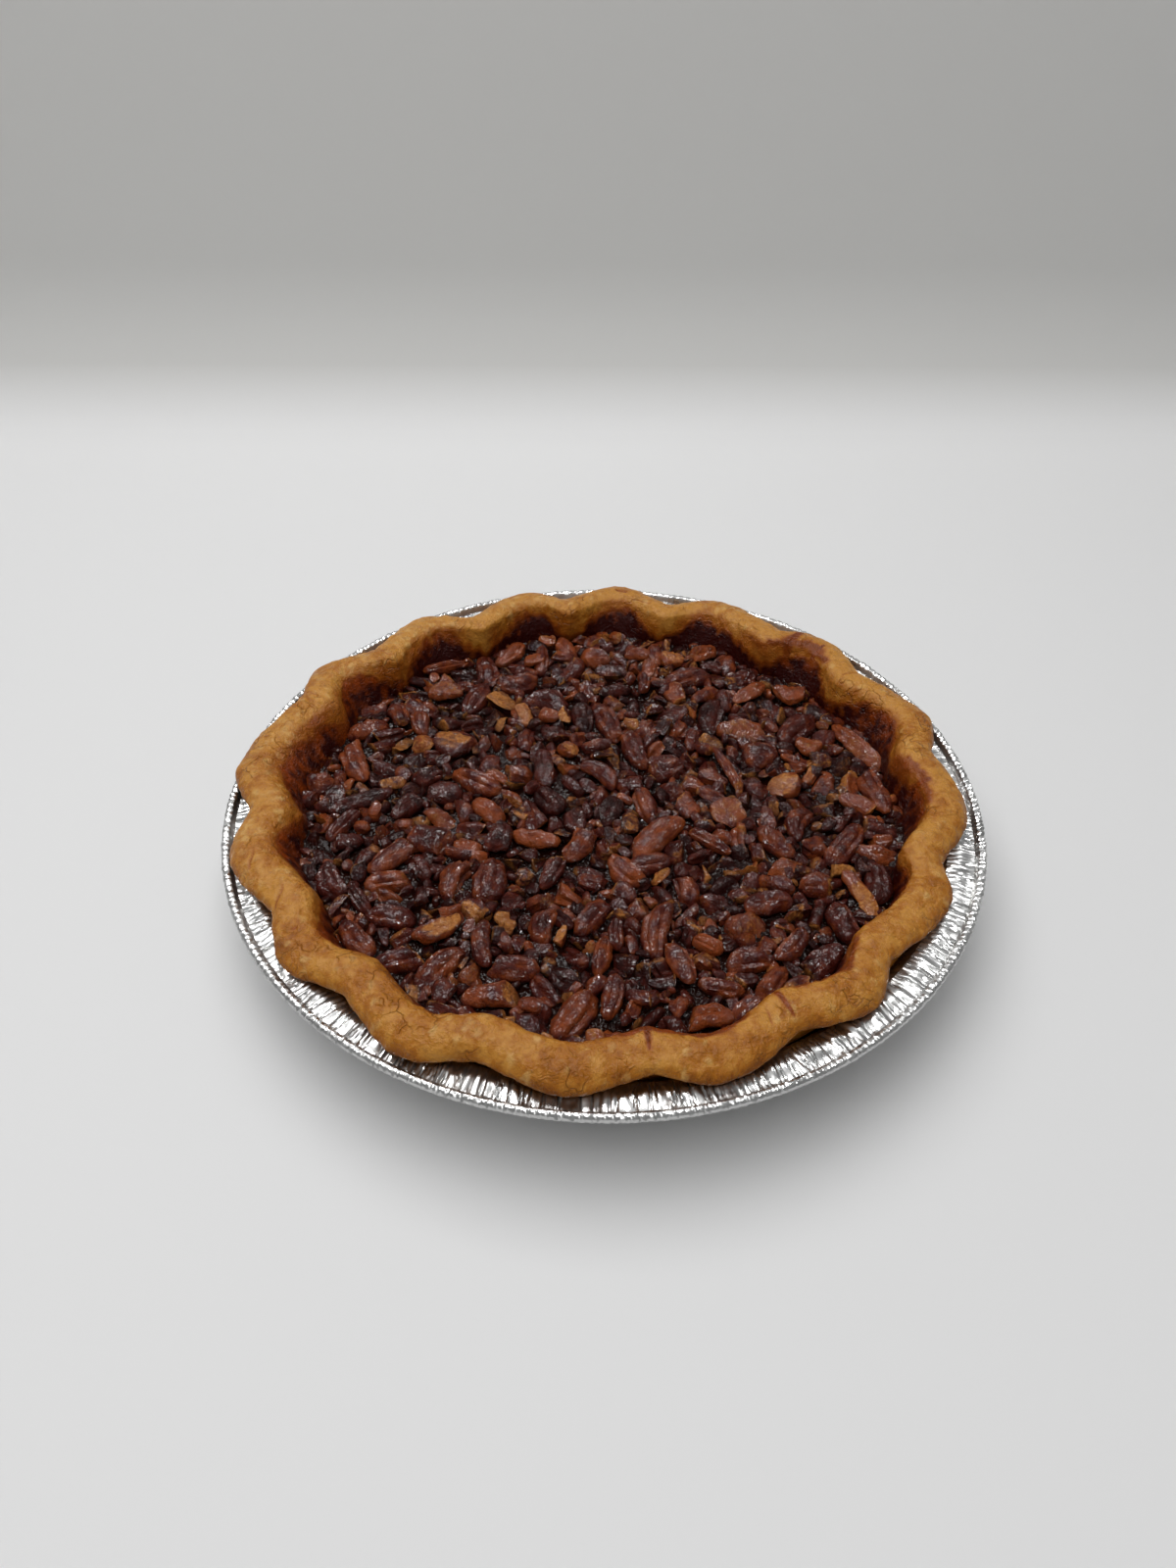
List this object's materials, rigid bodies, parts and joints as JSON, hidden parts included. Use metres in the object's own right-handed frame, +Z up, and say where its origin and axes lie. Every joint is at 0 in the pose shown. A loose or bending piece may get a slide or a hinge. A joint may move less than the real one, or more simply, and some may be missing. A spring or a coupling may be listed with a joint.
{
  "type": "pecan pie",
  "caption": "Whole baked pecan pie with a hand-fluted pastry rim, set in its own pleated foil tin, standing on its flat base.",
  "frame": {"origin": "middle of the tin's flat base, on the surface that the pie stands on", "axes": "+Z up; -Y is the side shown nearest in the picture, +X to its right"},
  "size_m": [0.248, 0.248, 0.041],
  "materials": {
    "foil": "thin pleated foil, bright",
    "pastry": "baked pastry, satin",
    "pecans": "syrup-glazed nuts, glossy"
  },
  "bodies": {
    "root": {"tin": "foil", "crust": "pastry", "filling": "pecans"}
  },
  "joints": []
}
